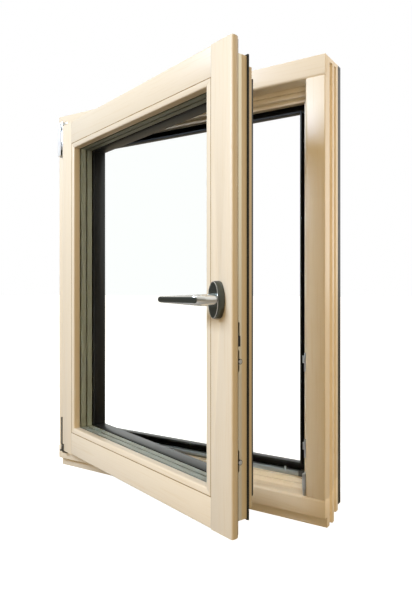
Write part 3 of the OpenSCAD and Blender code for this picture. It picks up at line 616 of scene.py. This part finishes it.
def screw_heads(node, ways):
    """Low heads on the screws of a node, each with a dark disc on top that is painted shade for its
    recess. A screw's head is at the end that lies furthest along one of the ways."""
    shortest = 15 * MM                    # a screw is longer than this along its own way
    head_r, head_thick, head_ease = 3.6 * MM, 0.35 * MM, 0.15 * MM
    shade_disc_r, shade_disc_thick, shade_disc_up = 1.6 * MM, 0.12 * MM, 0.3 * MM
    for count, group in enumerate(islands(node)):
        spans = [(min(p.dot(way) for p in group), max(p.dot(way) for p in group), way)
                 for way in ways]
        ends = [(high, way) for low, high, way in spans if high - low > shortest]
        if not ends:
            continue
        end, way = max(ends, key=lambda pair: pair[0])
        centre = sum(group, Vector()) / len(group)
        centre += way * (end - centre.dot(way))
        body, slot = BODY_OF[node], SLOT_OF[node]
        tag = "%s_%d" % (node, count)
        disc(centre, way, head_r, head_thick, "head_" + tag, ZINC, body, slot, head_ease)
        # a dark disc on the head, painted shade for the screw's recess
        disc(centre + way * shade_disc_up, way, shade_disc_r, shade_disc_thick, "recess_" + tag, DARK_HINGE,
             body, slot)


# ------------------------------------------------------------------ handle, in millimetres

ROSETTE_HALF_W = 16.0
ROSETTE_HALF_H = (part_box("rosette_base")[1].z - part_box("rosette_base")[0].z) / 2 / MM
ROSETTE_OUT = 16.0                        # from the sash face to the rosette's front
NECK_FOOT_R = 12.4
NECK_MIDDLE = (26.0, 11.4)                # out from the sash face, and radius
NECK_R = 10.6
BEND_R = 12.0
BEND_STEPS = 7
LEVER_OUT = 58.0                          # from the sash face to the lever's front
LEVER_LEN = 118.0
LEVER_HALF_THICK = 6.5                    # at the root
LEVER_HALF_THIN = 4.6                     # at the tip
LEVER_HALF_ROOT = 9.5                     # height at the root
LEVER_HALF_TIP = 6.0                      # height at the tip, and the tip's radius
LEVER_SQUARE = 3.2                        # power of the lever's outline
BAR_PARTS = (0.2, 0.4, 0.6, 0.8, 0.92, 0.96, 0.985, 0.997, 1.0)
TIP_LEAST = 0.12                          # the last ring's share of the full height
INSERT_CORNER_R = 3.0
INSERT_HALF_ROOT = 5.6
INSERT_TIP_R = 5.0
INSERT_MARGIN = 0.6                       # from the insert's tip to the lever's tip
INSERT_DEPTH = 2.5                        # into the lever's front
INSERT_PROUD = 0.3                        # out of the lever's front
INSERT_EASE = 0.9


def oval_rings(steps):
    """Rings of the rosette's outline; steps gives how far out each is and how much smaller."""
    return [ring_at(on_sash(0, out, 0), ACROSS * MM, UP * MM,
                    superellipse(ROSETTE_HALF_W - less, ROSETTE_HALF_H - less, 2, count=64))
            for out, less in steps]


def rosette():
    """Oval cover with a flat face, a little sunk inside a thin bright rim."""
    out = ROSETTE_OUT
    rings = oval_rings([(0.0, 0.3), (0.4, 0.0), (out - 3.0, 0.5), (out - 1.0, 0.9), (out - 0.4, 1.4)])
    shell = build("rosette_shell", *loft(rings), HANDLE_DARK, "sash", "handle_titanium")
    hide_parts("rosette_cover", "rosette_base")
    rings = oval_rings([(out - 0.6, 1.1), (out - 0.1, 1.5), (out, 2.1), (out - 0.1, 2.7),
                        (out - 0.6, 2.9), (out - 0.9, 2.0)])
    build("rosette_rim", *loft_closed(rings), HANDLE_SILVER, "sash", "handle_silver")


def neck_rings():
    """Round rings from the rosette to the start of the bend."""
    steps = ((ROSETTE_OUT - 0.9, NECK_FOOT_R + 0.3), (ROSETTE_OUT + 1.2, NECK_FOOT_R),
             NECK_MIDDLE, (LEVER_OUT - LEVER_HALF_THICK - BEND_R, NECK_R))
    return [ring_at(on_sash(0, out, 0), ACROSS * MM, UP * MM, circle(radius))
            for out, radius in steps]


def bend_rings(toward):
    """Rings of the elbow, which turn a quarter and grow square on the way."""
    rings = []
    foot = LEVER_OUT - LEVER_HALF_THICK - BEND_R
    for step in range(1, BEND_STEPS + 1):
        part = step / BEND_STEPS
        angle = part * math.pi / 2
        centre = on_sash(0, foot + BEND_R * math.sin(angle), 0)
        centre += toward * (BEND_R * (1 - math.cos(angle))) * MM
        side = (ACROSS * math.cos(angle) + INWARD * math.sin(angle)) * MM
        outline = superellipse(between(NECK_R, LEVER_HALF_THICK, part),
                               between(NECK_R, LEVER_HALF_ROOT, part),
                               between(2, LEVER_SQUARE, part))
        rings.append(ring_at(centre, side, UP * MM, outline))
    return rings


def bar_rings(toward):
    """Rings of the bar, which tapers and ends in a round tip."""
    rings = []
    for part in BAR_PARTS:
        length = between(BEND_R, LEVER_LEN, part)
        left = (LEVER_LEN - length) / LEVER_HALF_TIP
        shrink = math.sqrt(max(0.0, 1 - (1 - left) ** 2)) if left < 1 else 1.0
        shrink = max(shrink, TIP_LEAST)
        thick = between(LEVER_HALF_THICK, LEVER_HALF_THIN, part)
        high = between(LEVER_HALF_ROOT, LEVER_HALF_TIP, part) * shrink
        centre = on_sash(0, LEVER_OUT - thick, 0) + toward * length * MM
        rings.append(ring_at(centre, INWARD * MM, UP * MM,
                             superellipse(thick * between(0.4, 1.0, shrink), high, LEVER_SQUARE)))
    return rings


def insert_rings(toward):
    """Outline of the insert, narrow at the root and round at the tip, at its back and front."""
    corner = INSERT_HALF_ROOT - INSERT_CORNER_R
    outline = (arc(0, -corner, INSERT_CORNER_R, 180, 270, 8)
               + arc(LEVER_LEN - INSERT_MARGIN - INSERT_TIP_R, 0, INSERT_TIP_R, -90, 90, 16)
               + arc(0, corner, INSERT_CORNER_R, 90, 180, 8))
    return [[on_sash(0, out, z) + toward * along * MM for along, z in outline]
            for out in (LEVER_OUT - INSERT_DEPTH, LEVER_OUT + INSERT_PROUD)]


def handle_grip():
    """Silver neck, elbow and bar in one, with a dark insert along the bar's front."""
    toward = -ACROSS
    rings = neck_rings() + bend_rings(toward) + bar_rings(toward)
    grip = build("handle_grip", *loft(rings), HANDLE_SILVER, "handle", "handle_silver")
    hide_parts("handle_neck")
    insert = build("lever_insert", *loft(insert_rings(toward)), HANDLE_DARK, "handle",
                   "handle_titanium", INSERT_EASE * MM)
    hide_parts("handle_lever")


bead_shadows()
shaded_seams()
lock_slot_shade()
cam_heads("lock_rod", ACROSS, UP)
cam_heads("top_rod", UP, ACROSS)
cam_heads("bottom_rod", -UP, ACROSS)
stay_cover_back()
corner_band_cap()
screw_heads("hardware_screws", (ACROSS, UP, -UP))
rosette()
handle_grip()

# ------------------------------------------------------------------ stage, in metres

WHITE = (1.0, 1.0, 1.0)
FILL_FRONT = (0.56, 0.405, 0.18)          # light on matt surfaces from the room
FILL_BACK = (0.28, 0.19, 0.075)           # and from outdoors
FLOOR_BOUNCE = (0.18, 0.125, 0.05)        # the floor as matt surfaces see it
FLOOR_LOW, FLOOR_HIGH = (0.50, 0.50, 0.50), (0.52, 0.52, 0.52)
ROOM_LOW, ROOM_MID = (0.05, 0.05, 0.045), (0.07, 0.07, 0.065)
ROOM_WALL = (0.50, 0.49, 0.45)
BRIGHT = (1.1, 1.1, 1.08)                 # ceiling and backdrop, as glossy surfaces see them
FLOOR_HALF = 40.0
FLOOR_GAP = 0.0005                        # below the window's underside


def bounced(n):
    """Two switches: 1 for light that a matt surface sends on, and 1 for a glossy one."""
    path = n.add("LightPath")
    return (n.math("GREATER_THAN", path.outputs["Diffuse Depth"], 0.5),
            n.math("GREATER_THAN", path.outputs["Glossy Depth"], 0.5))


def pale_floor():
    """White to look at; darker and warm to the light that bounces off it."""
    n = Material("pale_floor")
    matt, gloss = bounced(n)
    cloud = n.noise(n.place(), scale=1.5, detail=2.0)
    straight = n.math("SUBTRACT", 1.0, n.math("MAXIMUM", matt, gloss))
    n.set(Base_Color=n.mix(matt, n.ramp(cloud, (0.3, FLOOR_LOW), (0.7, FLOOR_HIGH)), FLOOR_BOUNCE),
          Roughness=0.9, Specular_IOR_Level=0.1, Emission_Color=WHITE,
          Emission_Strength=straight)
    mesh = bpy.data.meshes.new("floor")
    corners = [(x * FLOOR_HALF, y * FLOOR_HALF, 0) for x, y in ((-1, -1), (1, -1), (1, 1), (-1, 1))]
    mesh.from_pydata(corners, [], [(0, 1, 2, 3)])
    floor = bpy.data.objects.new("floor", mesh)
    bpy.context.scene.collection.objects.link(floor)
    floor.location.z = cad_low.z - FLOOR_GAP
    dress(floor, n.mat)


def studio_world():
    """White behind the window; for matt surfaces a warm fill from the front, and for
    glossy ones a white backdrop and a darker room with a bright ceiling in front."""
    world = bpy.data.worlds.new("studio")
    bpy.context.scene.world = world
    world.use_nodes = True
    n = Nodes(world.node_tree)
    matt, gloss = bounced(n)
    way = n.add("SeparateXYZ", {0: n.add("TexCoord").outputs["Generated"]}).outputs
    fill = n.mix(n.grade(way["Y"], -0.5, 0.5), FILL_FRONT, FILL_BACK)
    room = n.ramp(n.grade(way["Z"], -1.0, 1.0), (0.485, ROOM_LOW), (0.54, ROOM_MID),
                  (0.60, ROOM_WALL), (0.95, BRIGHT))
    shine = n.mix(n.grade(way["Y"], -0.05, 0.35), room, BRIGHT)
    colour = n.mix(matt, n.mix(gloss, WHITE, shine), fill)
    n.put(n.tree.nodes["Background"].inputs["Color"], colour)


# ------------------------------------------------------------------ lights and camera

MIDDLE = Vector((0, 0, 0.5))              # the lamps' target
SIDE_LIT = ("jamb_lock_side", "frame_head", "frame_sill")
CAMERA_RIGHT = 0.8267                     # from the window's middle
CAMERA_AWAY = 1.1164                      # from the frame's inner face
CAMERA_HEIGHT = 0.5028
CAMERA_TURN = 32.96
LENS, SENSOR = 33.19, 36
SHIFT_UP = -0.0204
NEAR = 0.01


def area_light(name, azimuth, elevation, distance, size, power, colour):
    """A lamp turned to the window's middle; its azimuth runs from indoors to the lock side."""
    data = bpy.data.lights.new(name, "AREA")
    data.shape = "RECTANGLE"
    data.size, data.size_y = size
    data.energy = power
    data.color = colour
    light = bpy.data.objects.new(name, data)
    bpy.context.scene.collection.objects.link(light)
    a, e = math.radians(azimuth), math.radians(elevation)
    away = Vector((math.sin(a) * math.cos(e), -math.cos(a) * math.cos(e), math.sin(e)))
    light.location = MIDDLE + away * distance
    light.rotation_euler = (-away).to_track_quat("-Z", "Y").to_euler()
    return light


def studio_lights():
    """A cool key from the hinge side, a warm lamp from the front, and one from behind that
    reaches only the timber of the frame's lock side, head and sill."""
    area_light("key", -27, 31, 3.6, (1.2, 1.2), 126, (0.62, 0.76, 1.0))
    front = area_light("front", 38, 8, 3.6, (1.0, 0.6), 22, (1.0, 0.84, 0.60))
    front.visible_glossy = False
    side = area_light("side", 143, 10, 3.2, (1.2, 1.2), 78, (1.0, 0.93, 0.86))
    side.visible_glossy = False
    lit = bpy.data.collections.new("lit_side")
    for obj in bpy.context.scene.objects:
        if obj.name.startswith(SIDE_LIT):
            lit.objects.link(obj)
    side.light_linking.receiver_collection = lit


def level_camera():
    """Level camera at half height, to the right of the window and turned to it."""
    data = bpy.data.cameras.new("camera")
    camera = bpy.data.objects.new("camera", data)
    bpy.context.scene.collection.objects.link(camera)
    inner_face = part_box("jamb_lock_side")[0].y
    camera.location = (CAMERA_RIGHT, inner_face - CAMERA_AWAY, CAMERA_HEIGHT)
    camera.rotation_euler = (math.radians(90), 0, math.radians(CAMERA_TURN))
    data.sensor_width = SENSOR
    data.lens = LENS
    data.shift_y = SHIFT_UP
    data.clip_start = NEAR
    bpy.context.scene.camera = camera


bpy.context.scene.view_settings.view_transform = "Standard"
pale_floor()
studio_world()
level_camera()
studio_lights()
